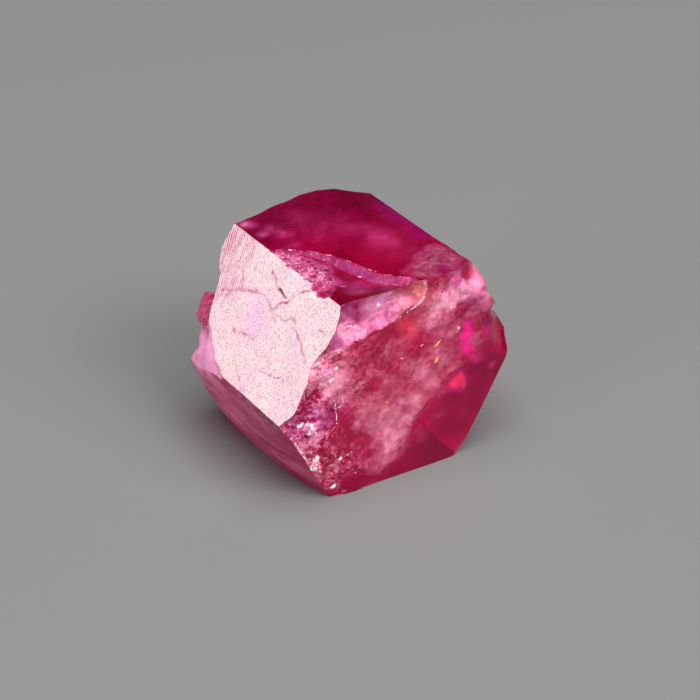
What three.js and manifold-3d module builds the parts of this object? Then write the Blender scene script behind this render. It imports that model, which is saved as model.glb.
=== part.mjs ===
// A loose crystal of red beryl: one hexagonal prism that lies on a side face and is broken at both ends.
// Millimetres, +Z up. The prism's long (c) axis runs along +Y, with the frosted break at the low-Y end.
// While it is cut, the crystal is measured from the corner where that break meets the top left edge:
// x runs across the crystal, y along its c axis and z up, so most heights are negative.
import * as THREE from 'three';
import { mergeVertices } from 'three/addons/utils/BufferGeometryUtils.js';
import Module from 'manifold-3d';

const wasm = await Module();
wasm.setup();

// Widths of four side faces. Every corner of the hexagon is 120 degrees, and that gives the other two.
const topWidth = 3.26;
const upperLeftWidth = 2.82;
const lowerLeftWidth = 2.47;
const bottomWidth = 3.18;
const upperRightWidth = bottomWidth + lowerLeftWidth - topWidth;
const lowerRightWidth = upperLeftWidth + topWidth - bottomWidth;

// Lengths along the c axis.
const basalLength = 4.8; // to the flat basal face at the far end
const obliqueLength = 4.26; // to the oblique break on the left of it, at the top left edge
const obliqueSlope = 0.245; // how much longer it gets for each millimetre to the right
const stockStart = -0.6;
const stockEnd = 5.4;

// The frosted break's left border: at each height, how far it stands out towards the front.
const borderOut = [
  [0.03, 0.04], [-0.2, 0.22], [-0.67, 0.23], [-0.97, 0.08],
  [-1.28, 0], [-1.5, 0.17], [-2.1, 0.17], [-2.44, -0.08],
];
const borderFade = [0.13, 0.39]; // distances from the border between which that wears off
// Pieces lost from the rest of the break's rim, and the boat-shaped shell of a break under its top edge.
const rimChips = [
  { centre: [4.6, -1.8], reach: [0.72, 0.6], depth: 0.5 },
  { centre: [4.2, -1.3], reach: [0.4, 0.28], depth: 0.34 },
  { centre: [3.5, 0.05], reach: [0.5, 0.55], depth: 0.24 },
  { centre: [3.5, -4.9], reach: [0.57, 0.57], depth: 0.45 },
];
const chipWalls = 1.6; // how steep the walls of those pieces are
const frontShell = { centre: [1.02, -0.48], reach: [1.2, 0.52], turn: 0.14, depth: 0.22 };
// The break's roughness: waves in turned directions, each shorter and lower than the last.
const rough = { waves: 6, turn: 2.4, pace: 1.9, quicken: 1.42, height: 0.027, fall: 0.78 };
const roughStart = 0.5; // distance from the left border over which it sets in
const roughInShell = 0.2; // share of it inside the shell

// How far back the upper left face reaches, by the distance down it, and the lobes beyond its border.
const brightBorder = [[0, 4.3], [0.36, 4.33], [0.78, 4.26], [1.1, 3.98], [1.84, 3.78], [2.6, 3.4]];
const brightFade = [0.13, 0.52]; // distances from that face between which its border gives way to the break
const farLobes = [
  { centre: [-0.7, -1.88], reach: [0.42, 0.42], height: 0.48 },
  { centre: [-0.75, -3.45], reach: [0.9, 0.95], height: 0.34 },
];
const lobeTop = 0.7; // how deep inside a lobe's rim its flat top begins

// The lower left face bulges behind the broken end: how far, over which distance down it, and between which
// lengths along the c axis the bulge sinks to a half.
const swelling = { height: 0.33, width: 1.5, ebb: [3.5, 4.5] };
// The upper right face has a lump and a hollow by the broken end, both below the top edge.
const lumps = [
  { height: 0.07, below: 0.25, reach: 0.35 },
  { height: -0.042, below: 0.95, reach: 0.3 },
];
const lumpsEnd = [0.5, 1.5]; // lengths along the c axis between which they fade out
const spare = 0.7; // extra width next to those two faces, which their own blocks cut back

const breakCell = 0.13; // spacing of the points that carry the uneven breaks
const faceCell = 0.2; // and of those that carry the uneven long faces
const blockSize = 12; // side of the blocks that cut the crystal
const sideTurn = Math.PI / 3; // turn from one prism face to the next

const across = new THREE.Vector3(1, 0, 0);
const back = new THREE.Vector3(0, 1, 0);
const up = new THREE.Vector3(0, 0, 1);
const front = back.clone().negate();
const upperLeftOut = new THREE.Vector3(-Math.sin(sideTurn), 0, Math.cos(sideTurn));
const upperLeftUp = new THREE.Vector3(Math.cos(sideTurn), 0, Math.sin(sideTurn));

const redBeryl = new THREE.MeshStandardMaterial({ color: 0xb0124e, roughness: 0.12, metalness: 0 });

function solidFrom(geometry) {
  geometry.deleteAttribute('normal');
  geometry.deleteAttribute('uv');
  const merged = mergeVertices(geometry, 1e-6);
  return new wasm.Manifold(new wasm.Mesh({
    numProp: 3,
    vertProperties: new Float32Array(merged.attributes.position.array),
    triVerts: new Uint32Array(merged.index.array),
  }));
}

function geometryFrom(solid) {
  const mesh = solid.getMesh();
  const geometry = new THREE.BufferGeometry();
  geometry.setAttribute('position', new THREE.BufferAttribute(new Float32Array(mesh.vertProperties), 3));
  geometry.setIndex(new THREE.BufferAttribute(new Uint32Array(mesh.triVerts), 1));
  geometry.computeVertexNormals();
  return geometry;
}

// Turns a shape made around +Z so that its Z points along `outward` and its X along `along`, and moves it.
function place(geometry, origin, along, outward) {
  const side = new THREE.Vector3().crossVectors(outward, along);
  geometry.applyMatrix4(new THREE.Matrix4().makeBasis(along, side, outward).setPosition(origin));
  return geometry;
}

// The prism: its outline is walked from the top face round to the right, turning 60 degrees at each corner.
// The upper right and lower left faces are further out here than in the crystal.
function prism() {
  const outline = new THREE.Shape();
  const corner = new THREE.Vector2(0, 0);
  outline.moveTo(corner.x, corner.y);
  const widths = [
    topWidth + spare, upperRightWidth - spare, lowerRightWidth + spare,
    bottomWidth + spare, lowerLeftWidth - spare,
  ];
  widths.forEach((width, side) => {
    corner.x += width * Math.cos(side * sideTurn);
    corner.y -= width * Math.sin(side * sideTurn);
    outline.lineTo(corner.x, corner.y);
  });
  outline.closePath();
  const geometry = new THREE.ExtrudeGeometry(outline, { depth: stockEnd - stockStart, bevelEnabled: false });
  geometry.rotateX(Math.PI / 2);
  geometry.translate(0, stockEnd, 0);
  return solidFrom(geometry);
}

// A flat-bottomed hollow: 1 at its centre, a fifth of that at its rim and soon nothing beyond it.
function hollow(a, b, { centre, reach }) {
  const u = (a - centre[0]) / reach[0];
  const v = (b - centre[1]) / reach[1];
  return Math.exp(-chipWalls * (u * u + v * v) ** 2);
}

// A round bowl: 1 at its centre and 0 from its rim outwards. The rim is an ellipse, turned by `turn`.
function bowl(a, b, { centre, reach, turn = 0 }) {
  const u = ((a - centre[0]) * Math.cos(turn) + (b - centre[1]) * Math.sin(turn)) / reach[0];
  const v = ((b - centre[1]) * Math.cos(turn) - (a - centre[0]) * Math.sin(turn)) / reach[1];
  return Math.max(0, 1 - u * u - v * v);
}

// The second number of the pairs, read off at `value` by straight stretches between them.
function alongLine(value, pairs) {
  const sorted = [...pairs].sort((first, second) => first[0] - second[0]);
  const after = sorted.findIndex((pair) => pair[0] > value);
  if (after === 0) {
    return sorted[0][1];
  }
  if (after < 0) {
    return sorted[sorted.length - 1][1];
  }
  const [from, to] = [sorted[after - 1], sorted[after]];
  return THREE.MathUtils.mapLinear(value, from[0], to[0], from[1], to[1]);
}

// The distance of (x, z) to the right of the crystal's left outline, which turns where two side faces meet.
function fromLeft(x, z) {
  const turnDepth = upperLeftWidth * Math.sin(sideTurn);
  return x + (turnDepth - Math.abs(z + turnDepth)) / Math.tan(sideTurn);
}

// How far the frosted break stands out towards the front at (x, z). Negative heights are hollows.
function breakHeight(x, z) {
  const inward = Math.max(fromLeft(x, z), 0);
  let waves = 0;
  for (let wave = 0; wave < rough.waves; wave += 1) {
    const heading = rough.turn * wave;
    const pace = rough.pace * rough.quicken ** wave;
    const way = x * Math.cos(heading) + z * Math.sin(heading);
    waves += rough.height * rough.fall ** wave * Math.sin(pace * way + wave);
  }
  const border = alongLine(z, borderOut) * (1 - THREE.MathUtils.smoothstep(inward, ...borderFade));
  const shell = THREE.MathUtils.smoothstep(bowl(x, z, frontShell), 0, 1);
  const share = THREE.MathUtils.smoothstep(inward, 0, roughStart) * (shell > 0 ? roughInShell : 1);
  const lost = rimChips.reduce((sum, chip) => sum + chip.depth * hollow(x, z, chip), 0);
  return border + waves * share - lost - frontShell.depth * shell;
}

// How far back the oblique break lies at (x, z). By the upper left face it follows that face's ragged border.
function obliqueHeight(x, z) {
  const down = -z / Math.sin(sideTurn);
  const inward = x * Math.sin(sideTurn) - z * Math.cos(sideTurn);
  const byFace = 1 - THREE.MathUtils.smoothstep(inward, ...brightFade);
  const plain = obliqueLength + obliqueSlope * x;
  const border = THREE.MathUtils.lerp(plain, alongLine(down, brightBorder), byFace);
  const raised = farLobes.reduce(
    (sum, lobe) => sum + lobe.height * THREE.MathUtils.smoothstep(bowl(x, z, lobe), 0, lobeTop), 0);
  return border + raised * (down < upperLeftWidth ? 1 - byFace : 1);
}

// How far the lower left face bulges, at y along it and at a distance down it.
function swellingHeight(y, down) {
  const climb = 1 - (1 - THREE.MathUtils.clamp(down / swelling.width, 0, 1)) ** 2;
  const start = 1 - Math.exp(-Math.max(y, 0));
  return swelling.height * climb * start * (1 - THREE.MathUtils.smoothstep(y, ...swelling.ebb) / 2);
}

// How far the upper right face stands out, at y along it and at a distance up from the top edge.
function lumpHeight(y, above) {
  const both = lumps.reduce(
    (sum, lump) => sum + lump.height * Math.exp(-(((above + lump.below) / lump.reach) ** 2)), 0);
  return both * (1 - THREE.MathUtils.smoothstep(y, ...lumpsEnd));
}

// A block with an uneven outer face. Its local x runs along `along` and its z along `outward`.
// `low` and `high` are the corners of the face, and `height` gives how far it stands out at each point.
function reliefBlock({ origin, along, outward, low, high, cell, height }) {
  const size = [high[0] - low[0], high[1] - low[1]];
  const geometry = new THREE.BoxGeometry(
    size[0], size[1], blockSize, Math.round(size[0] / cell), Math.round(size[1] / cell), 1);
  geometry.translate((low[0] + high[0]) / 2, (low[1] + high[1]) / 2, -blockSize / 2);
  const points = geometry.attributes.position;
  for (let i = 0; i < points.count; i += 1) {
    if (points.getZ(i) > -blockSize / 2) {
      points.setZ(i, height(points.getX(i), points.getY(i)));
    }
  }
  return solidFrom(place(geometry, origin, along, outward));
}

// A block that takes away everything beyond a plane.
function beyond(point, outward) {
  const geometry = new THREE.BoxGeometry(blockSize, blockSize, blockSize);
  geometry.translate(0, 0, blockSize / 2);
  const along = new THREE.Vector3().crossVectors(up, outward).normalize();
  return solidFrom(place(geometry, point, along, outward));
}

// A shell-shaped break: an ellipsoid that dips into a face to a given depth, with a rim of given half-widths.
// `along` is the direction of the first half-width. Four fifths of the ellipsoid's own depth stay outside.
function shellBreak({ centre, outward, along, rim, depth }) {
  const raised = 0.8;
  const spread = Math.sqrt(1 - raised * raised);
  const radius = depth / (1 - raised);
  const geometry = new THREE.SphereGeometry(1, 48, 32);
  geometry.scale(rim[0] / spread, rim[1] / spread, radius);
  geometry.translate(0, 0, raised * radius);
  return solidFrom(place(geometry, centre, along, outward));
}

// A place on either end, from its distances down the upper left face and inwards from it.
const onEnd = (down, inward) => [
  inward * Math.sin(sideTurn) - down * Math.cos(sideTurn),
  -inward * Math.cos(sideTurn) - down * Math.sin(sideTurn),
];
// A place on the upper left face, from its distances along the crystal and down the face.
const onUpperLeft = (y, down) => upperLeftUp.clone().multiplyScalar(-down).setY(y);

// The uneven faces: both breaks, whose points follow the upper left face, and two of the long faces.
const blocks = [
  reliefBlock({
    origin: new THREE.Vector3(), along: upperLeftUp.clone().negate(), outward: front,
    low: [-2.6, -0.65], high: [5.2, 5.85], cell: breakCell,
    height: (down, inward) => breakHeight(...onEnd(down, inward)),
  }),
  reliefBlock({
    origin: new THREE.Vector3(), along: upperLeftUp.clone().negate(), outward: back,
    low: [-2.6, -5.85], high: [5.2, 0.65], cell: breakCell,
    height: (down, outward) => obliqueHeight(...onEnd(down, -outward)),
  }),
  reliefBlock({
    origin: onUpperLeft(0, upperLeftWidth), along: back,
    outward: upperLeftOut.clone().setZ(-upperLeftOut.z),
    low: [-1, -2], high: [6, 5], cell: faceCell, height: swellingHeight,
  }),
  reliefBlock({
    origin: across.clone().multiplyScalar(topWidth), along: back,
    outward: upperLeftOut.clone().setX(-upperLeftOut.x),
    low: [-1, -4], high: [6, 3], cell: faceCell, height: lumpHeight,
  }),
];

const cuts = [
  // The far end: a flat basal face and a lost top right corner, where two planes meet.
  beyond(new THREE.Vector3(0, basalLength, 0), back),
  beyond(new THREE.Vector3(2.14, basalLength, 0), new THREE.Vector3(0.36, 1, 0.35).normalize()),
  beyond(new THREE.Vector3(2.68, 4.62, 0), new THREE.Vector3(1.15, 1, 0.8).normalize()),
  // The flake lost from the top face beside the upper left face, and the nick in the edge between them.
  shellBreak({
    centre: new THREE.Vector3(0.88, 0.92, 0), outward: up,
    along: new THREE.Vector3(0.58, -0.81, 0).normalize(), rim: [1.55, 0.62], depth: 0.2,
  }),
  shellBreak({
    centre: new THREE.Vector3(0, 0.72, 0), outward: upperLeftOut.clone().add(up).normalize(),
    along: back, rim: [0.33, 0.22], depth: 0.1,
  }),
  // The split far lower corner of the upper left face.
  shellBreak({
    centre: onUpperLeft(3.95, upperLeftWidth), outward: upperLeftOut,
    along: new THREE.Vector3(0, 0.78, 0).addScaledVector(upperLeftUp, 0.62).normalize(),
    rim: [1.7, 0.75], depth: 0.3,
  }),
];

const rawStone = blocks.reduce((solid, block) => solid.intersect(block), prism());
const stone = cuts.reduce((solid, cut) => solid.subtract(cut), rawStone);

const crystal = new THREE.Mesh(geometryFrom(stone), redBeryl);
crystal.name = 'beryl_crystal';

// The origin goes to the middle of the crystal's box, on the surface that it lies on.
const extent = new THREE.Box3().setFromObject(crystal);
const middle = extent.getCenter(new THREE.Vector3());
crystal.geometry.translate(-middle.x, -middle.y, -extent.min.z);

const part = new THREE.Group();
part.add(crystal);

export default part;
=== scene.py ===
import bpy
import math
import numpy as np
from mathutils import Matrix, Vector


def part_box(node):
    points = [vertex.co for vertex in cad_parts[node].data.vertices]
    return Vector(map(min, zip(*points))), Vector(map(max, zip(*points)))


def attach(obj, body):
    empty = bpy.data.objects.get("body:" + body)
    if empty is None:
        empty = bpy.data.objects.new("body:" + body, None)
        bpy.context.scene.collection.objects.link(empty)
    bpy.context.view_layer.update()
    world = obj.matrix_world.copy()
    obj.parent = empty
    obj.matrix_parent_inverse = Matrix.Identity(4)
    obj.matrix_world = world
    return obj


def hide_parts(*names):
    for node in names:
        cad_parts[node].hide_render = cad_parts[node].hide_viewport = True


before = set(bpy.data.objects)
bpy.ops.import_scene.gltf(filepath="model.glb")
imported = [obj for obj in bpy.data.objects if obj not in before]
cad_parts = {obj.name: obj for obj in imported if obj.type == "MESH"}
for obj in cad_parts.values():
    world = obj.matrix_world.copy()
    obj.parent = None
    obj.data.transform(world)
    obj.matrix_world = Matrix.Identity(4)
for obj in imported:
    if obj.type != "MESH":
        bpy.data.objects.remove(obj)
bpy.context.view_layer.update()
print("frame loaded")

millimetre = 0.001

# All shapes below are in mm from the corner where the broken end meets the top left edge:
# x runs right across the broken end, y back along the crystal, z up.
prism = {
    # side widths, walked from the bright upper left face down and round to the top face
    "sides": [
        ("upperLeft", 2.82), ("lowerLeft", 2.47), ("bottom", 3.18), ("lowerRight", 2.9),
        ("upperRight", 2.39), ("top", 3.26),
    ],
    "firstAngle": 150.0,   # degrees from +X to the upper left face's outward direction
    "basalLength": 4.8,    # from that corner to the furthest point of the far end
}
prismTurn = math.radians(60)   # from each long face to the next

low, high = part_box("beryl_crystal")
zero = np.array([low.x / millimetre + prism["sides"][0][1] / 2,
                 high.y / millimetre - prism["basalLength"],
                 high.z / millimetre])   # that corner, in the frame, in mm


# Number fields

noise = {
    "cells": 64,               # the random tables start again after so many cells
    "shift": (17.3, 9.1),      # cells that the crystal's corner lies into the table
    "layerTurn": 0.6,          # radians that each layer is turned from the last
    "jitter": (0.1, 0.9),      # how far across its cell a facet's point may lie
}
farAway = 9.0                  # mm, more than any distance in the crystal


def smooth(value, start, end):
    # 0 below start, 1 above end, 3t^2 - 2t^3 between
    t = np.clip((value - start) / (end - start), 0, 1)
    return t * t * (3 - 2 * t)


def bumps(a, b, size, seed):
    # value noise from -1 to 1: random numbers at the corners of square cells, eased from one to the next
    cells = noise["cells"]
    table = np.random.default_rng(seed).uniform(-1, 1, (cells, cells))
    u, v = a / size + noise["shift"][0], b / size + noise["shift"][1]
    i, j = np.floor(u).astype(int), np.floor(v).astype(int)
    s, t = smooth(u - i, 0, 1), smooth(v - j, 0, 1)
    i, j, k, m = i % cells, j % cells, (i + 1) % cells, (j + 1) % cells
    return ((table[i, j] * (1 - s) + table[k, j] * s) * (1 - t)
            + (table[i, m] * (1 - s) + table[k, m] * s) * t)


def layers(a, b, size, count, seed):
    # bumps on bumps: each layer has half the size and half the height, turned a little from the last
    total = 0
    for n in range(count):
        c, s = math.cos(noise["layerTurn"] * n), math.sin(noise["layerTurn"] * n)
        total = total + bumps(a * c + b * s, b * c - a * s, size / 2 ** n, seed + n) / 2 ** n
    return total


def facets(a, b, size, seed):
    # broken steps: a jittered point in each square cell owns what is nearest to it, as one flat tilted facet
    cells, rng = noise["cells"], np.random.default_rng(seed)
    jitterA, jitterB = rng.uniform(*noise["jitter"], (2, cells, cells))
    lift, tiltA, tiltB = rng.uniform(-1, 1, (3, cells, cells))
    u, v = a / size + 20, b / size + 20
    i, j = np.floor(u).astype(int), np.floor(v).astype(int)
    best = np.full(np.shape(u), farAway)
    height = np.zeros(np.shape(u))
    for di in (-1, 0, 1):
        for dj in (-1, 0, 1):
            p, q = (i + di) % cells, (j + dj) % cells
            du = u - (i + di) - jitterA[p, q]
            dv = v - (j + dj) - jitterB[p, q]
            gap = du * du + dv * dv
            nearer = gap < best
            best = np.where(nearer, gap, best)
            tilted = 0.5 * lift[p, q] + tiltA[p, q] * du + tiltB[p, q] * dv
            height = np.where(nearer, tilted, height)
    return height


def dish(a, b, centre, radii, turn=0.0):
    # a shallow bowl: 1 at its centre, falling as 1 - r^2 to 0 at the rim of an ellipse
    c, s = math.cos(turn), math.sin(turn)
    u = ((a - centre[0]) * c + (b - centre[1]) * s) / radii[0]
    v = ((b - centre[1]) * c - (a - centre[0]) * s) / radii[1]
    return np.maximum(0, 1 - u * u - v * v)


def patches(a, b, spots):
    # soft round patches added up: strength times exp(-(distance / radius)^2) for each
    total = np.zeros(np.shape(a))
    for centreA, centreB, radius, strength in spots:
        total = total + strength * np.exp(-((a - centreA) ** 2 + (b - centreB) ** 2) / radius ** 2)
    return total


def alongLine(value, points):
    # the second number of the points, read off at value by straight stretches between them
    firsts, seconds = zip(*sorted(points))
    return np.interp(value, firsts, seconds)


def lineGap(a, b, points):
    # distance to the nearest stretch of a line through the points
    gap = np.full(np.shape(a), farAway)
    for (a0, b0), (a1, b1) in zip(points[:-1], points[1:]):
        da, db = a1 - a0, b1 - b0
        t = np.clip(((a - a0) * da + (b - b0) * db) / (da * da + db * db), 0, 1)
        gap = np.minimum(gap, np.hypot(a - a0 - t * da, b - b0 - t * db))
    return gap


def strokes(a, b, lines, width):
    # 1 on the thin wandering lines, falling to 0 at width from them, stronger and weaker along their way
    marks = np.zeros(np.shape(a))
    u = a + 0.8 * width * bumps(a, b, 3 * width, 15)
    v = b + 0.8 * width * bumps(a, b, 3 * width, 16)
    for line in lines:
        marks = np.maximum(marks, 1 - smooth(lineGap(u, v, line), 0.2 * width, width))
    return marks * np.clip(0.62 + 0.6 * bumps(a, b, 4 * width, 17), 0, 1)


def spacing(start, end, cell, fine=None):
    # grid positions from start to end, closer together inside the fine stretch
    if fine is None:
        return np.arange(start, end + cell, cell)
    first, last, close = fine
    stretches = [(start, first, cell), (first, last, close), (last, end + cell, cell)]
    return np.concatenate([np.arange(*stretch) for stretch in stretches])


# The bright upper left face: y back along it, d down it

brightFace = {
    "swell": 0.004,
    "grain": 0.0012,
    "striationPitch": 0.072,
    "striationDepth": 0.0022,
    "crackWidth": 0.052,
    "crackDepth": 0.007,
    "faintCrack": (1.15, 0.62),            # width and strength of a faint crack, as shares of a strong one's
    "scratch": (0.024, 0.5),               # width and strength of a scratch
    "cracks": [
        [(1.15, 0.83), (0.92, 0.97), (0.62, 1.14), (0.34, 1.3), (0.22, 1.4)],
        [(1.02, 0.14), (1.3, 0.35), (1.46, 0.53), (1.86, 0.91), (1.91, 0.97), (1.75, 1.04), (1.61, 1.1)],
    ],
    "faintCracks": [
        [(1.91, 0.97), (2.05, 0.84), (2.4, 0.87), (2.79, 0.95), (3.13, 1.12), (3.71, 1.31)],
        [(3.05, 1.1), (3.21, 0.92), (3.25, 0.72)], [(1.67, 1.04), (1.18, 0.88)],
        [(2.73, 1.86), (2.42, 1.77), (2.07, 1.73)], [(2.43, 0.31), (2.2, 0.39), (2.01, 0.51)],
        [(0.22, 0.67), (0.0, 0.73), (-0.2, 0.79)],
    ],
    "scratches": [
        [(2.14, 2.49), (1.91, 2.63), (1.62, 2.8)], [(1.57, 2.21), (0.99, 2.1), (0.56, 1.98)],
        [(1.1, 2.62), (0.95, 2.62)],
    ],
    "darkMark": [[(1.94, 0.52), (1.81, 0.56), (1.7, 0.6), (1.58, 0.61)]],
    "pit": (0.46, 1.99, 0.07, 0.012),      # y, d, radius and depth
    "lilac": [(2.11, 1.37, 0.42, 0.9), (2.4, 1.1, 0.2, 0.5)],
    # a bluish-white patch of the painted sheen
    "coolSheen": [(1.71, 0.25, 0.22, 0.8)],
    # the far lower corner is split off where 0.505 y + 0.863 d passes 3.73, by a step and then a slope
    "splitCorner": (0.505, 0.863, 3.73),
    "splitStep": 0.08,
    "splitSlope": (0.36, 1.6),             # depth, and the distance over which it is reached
}


def crackMarks(y, d):
    # the strongest of the cracks, the faint cracks and the scratches at each point
    wander = 0.02 * bumps(y, d, 0.16, 5)
    wide = 0.7 + 0.3 * bumps(y, d, 0.11, 6)
    strong = strokes(y + wander, d - wander, brightFace["cracks"], brightFace["crackWidth"])
    wider, faintness = brightFace["faintCrack"]
    faint = strokes(y - wander, d + wander, brightFace["faintCracks"], brightFace["crackWidth"] * wider)
    scratchWidth, scratchShare = brightFace["scratch"]
    scratch = strokes(y, d, brightFace["scratches"], scratchWidth)
    return np.maximum(np.maximum(strong * wide, faintness * faint * wide), scratchShare * scratch)


def striations(y, d):
    # how strongly the far edge is combed, and the grooves themselves: 0 on a ridge, 1 in a groove
    comb = smooth(y, 2.9, 3.7) * (1 - smooth(d, 1.2, 2.0))
    steps = (y + 0.3 * d + 0.02 * bumps(y, d, 0.4, 3)) / brightFace["striationPitch"]
    return comb, 0.5 + 0.5 * np.cos(2 * math.pi * steps)


def edgeNick(y, d):
    # an angular chip at the top edge: the least of the distances inside its three straight sides
    near = 1.12 - y - 0.5 * d
    under = 0.2 - d + 0.03 * bumps(y, d, 0.12, 7)
    far = (y - 0.45) * 0.68 - d * 0.73 + 0.02
    return np.maximum(np.minimum(np.minimum(near, under), far), 0)


def splitShare(y, d):
    # 1 where the far lower corner is split off, 0 elsewhere, with a ragged border
    alongY, alongD, limit = brightFace["splitCorner"]
    return smooth(alongY * y + alongD * d + 0.06 * bumps(y, d, 0.3, 8), limit - 0.04, limit + 0.04)


def upperLeftRelief(y, d):
    # low swells, comb-like grooves by the far edge, thin cracks, a pit, a chip, and the lost far lower corner
    comb, wave = striations(y, d)
    height = brightFace["swell"] * layers(y, d, 1.3, 2, 11) + brightFace["grain"] * layers(y, d, 0.1, 2, 13)
    height = height - brightFace["striationDepth"] * comb * wave
    height = height - brightFace["crackDepth"] * crackMarks(y, d)
    pitY, pitD, pitSize, pitDepth = brightFace["pit"]
    height = height - pitDepth * dish(y, d, (pitY, pitD), (pitSize, pitSize))
    split = splitShare(y, d)
    alongY, alongD, limit = brightFace["splitCorner"]
    slope, run = brightFace["splitSlope"]
    lost = brightFace["splitStep"] * split + slope * smooth(alongY * y + alongD * d, limit, limit + run)
    nick = 1.1 * edgeNick(y, d) + 0.03 * smooth(edgeNick(y, d), 0, 0.01)
    return height - lost - 0.04 * split * bumps(y, d, 0.35, 21) - nick


# The top face: y back along it, x across it

topFace = {
    "flakeRim": [
        (0.0, 1.93), (0.3, 1.82), (0.45, 1.62), (0.75, 1.39), (1.27, 1.22), (1.71, 1.1), (2.0, 0.92),
        (2.24, 0.77), (2.45, 0.57), (2.62, 0.34), (2.8, 0.0),
    ],
    "flakeDepth": [(0.0, 0.13), (0.5, 0.2), (1.6, 0.19), (2.3, 0.1), (2.8, 0.04)],
    "wallStart": 0.91,                 # the flake's floor turns up into its wall at this share of its width
    "haze": [
        (2.12, 0.22, 0.26, 0.7), (2.72, 0.7, 0.42, 0.8), (2.95, 0.25, 0.35, 0.7), (2.35, 0.45, 0.4, 0.6),
        (2.98, 0.95, 0.2, 0.5), (3.2, 0.12, 0.14, -0.8), (2.88, 0.42, 0.1, -0.5),
    ],
    # x, y, radius and strength of the soft veils just under the face
    "veils": [
        (2.33, 2.27, 0.34, 0.8), (2.26, 1.87, 0.36, 0.9), (2.27, 1.37, 0.4, 0.8), (2.1, 2.75, 0.3, 0.5),
        (1.55, 2.9, 0.3, 0.6), (1.2, 3.24, 0.22, 0.7), (1.18, 2.75, 0.2, 0.5), (0.59, 3.62, 0.2, 2.0),
        (0.65, 3.25, 0.17, 2.0), (0.24, 3.5, 0.12, 3.0), (0.55, 2.78, 0.16, 1.2), (1.3, 3.8, 0.35, 0.5),
        (1.9, 3.3, 0.4, 0.3),
    ],
    # a painted pink glint near the far left corner
    "pinkGlint": [(0.18, 4.1, 0.17, 1.0)],
    "warm": [(1.8, 0.15, 0.3, 1.0), (1.4, 0.15, 0.15, 0.5)],
    "darkSpot": [(0.57, 1.42, 0.05, 1.6)],
    "blister": ((0.72, 0.42), (0.42, 0.33), 0.5),      # on the flake's floor: its middle, half sizes and turn
    "floorShift": (0.92, 1.47),        # what marks on the sunken floor move by in x and y, for each mm down
    "violetEdge": (2.62, 3.18),        # x between which a violet tint comes in towards the right edge
    # a painted highlight along the edge with the broken end
    "edgeHighlight": [[(2.16, 0.03), (2.5, 0.03), (2.9, 0.02), (3.2, 0.0)]],
    # painted glints as thin lines on the flake
    "flakeGlintLines": [
        [(0.38, 2.59), (0.77, 2.24), (1.1, 1.71), (1.22, 1.27), (1.39, 0.75), (1.62, 0.45), (1.97, 0.05)],
        [(0.6, 2.25), (0.7, 2.12), (0.87, 1.43), (1.02, 1.05)], [(1.13, 0.85), (1.28, 0.34)],
        [(0.19, 2.44), (0.2, 2.28)], [(0.36, 2.36), (0.46, 2.25)], [(0.48, 1.94), (0.61, 1.86)],
        [(0.35, 1.38), (0.48, 1.5), (0.66, 1.48)], [(0.17, 1.75), (0.35, 1.55), (0.42, 1.28)],
        [(0.94, 0.98), (0.95, 0.87), (1.02, 0.8), (1.09, 0.8)], [(0.34, 0.95), (0.46, 0.66), (0.55, 0.6)],
    ],
}


def flakeShare(x, y):
    # how far across the lost flake a point is: 0 at the bright face's edge, 1 at the rim, more outside it
    rim = alongLine(y, topFace["flakeRim"]) + 0.035 * bumps(x, y, 0.22, 31) * smooth(y, 0, 0.3)
    return np.maximum(x, 0) / np.maximum(rim, 0.02)


def flakeJumble(x, y):
    # the splintered strip of the flake beside the bright face, wider towards the far end
    widen = smooth(y, 1.2, 1.8)
    strip = 1 - smooth(flakeShare(x, y), 0.35 + 0.2 * widen, 0.62 + 0.25 * widen)
    return smooth(y, 0.7, 1.1) * (1 - smooth(y, 2.6, 2.8)) * strip


def topRelief(y, d):
    # glassy; the flake's floor sinks evenly from the bright face and turns up to the rim in shelly ripples
    x = prism["sides"][5][1] - d
    t = flakeShare(x, y)
    start = topFace["wallStart"]
    depth = alongLine(y, topFace["flakeDepth"])
    floor = np.where(t < start, t / start, (1 - t) / (1 - start))
    wall = smooth(t, start - 0.1, start) * (t < 1)
    ripple = 0.01 * wall * np.cos(30 * t + 6 * bumps(x, y, 0.5, 32))
    inside = np.where((t < 1) & (y < 2.85), 1.0, 0.0)
    jumble = (0.035 * facets(x, y, 0.24, 33) + 0.018 * facets(x, y, 0.1, 34)) * flakeJumble(x, y)
    jumble = jumble + 0.006 * facets(x, y, 0.13, 38) * wall * (y > 0.5)
    grain = 0.006 * layers(x, y, 0.12, 2, 36) * hazeShare(x, y)
    lost = inside * np.maximum(depth * floor + ripple + jumble, 0.004)
    return grain - lost + 0.002 * bumps(x * 2.5, y * 0.4, 0.8, 35)


def hazeShare(x, y):
    # the dull corner by the broken end, ragged at its border
    spots = patches(x, y, topFace["haze"])
    return smooth(spots + 0.3 * layers(x, y, 0.3, 4, 37), 0.15, 0.9) * smooth(spots, 0.02, 0.2)


# The other long faces

lowerLeftFace = {
    "bulge": 0.33,
    "bulgeWidth": 1.5,
    "grooveDepth": 0.012,
    "groovePitch": 0.42,
    # y, d, radius and strength of paler patches, the first partly a painted highlight on the lower lobe; then
    # painted glint lines and dark cracks by the bright face's edge
    "pale": [(3.8, 0.2, 0.55, 1.3), (2.9, 0.45, 0.35, 0.3), (3.3, 0.15, 0.16, 0.4), (2.6, 1.4, 0.3, 0.25)],
    "edgeGlints": [
        [(0.0, 0.12), (0.35, 0.05), (0.7, 0.09), (1.1, 0.05), (1.6, 0.07)], [(0.1, 0.22), (0.5, 0.17)],
    ],
    "cracks": [[(0.05, 0.17), (0.5, 0.11), (0.9, 0.14), (1.3, 0.1)]],
}


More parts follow.
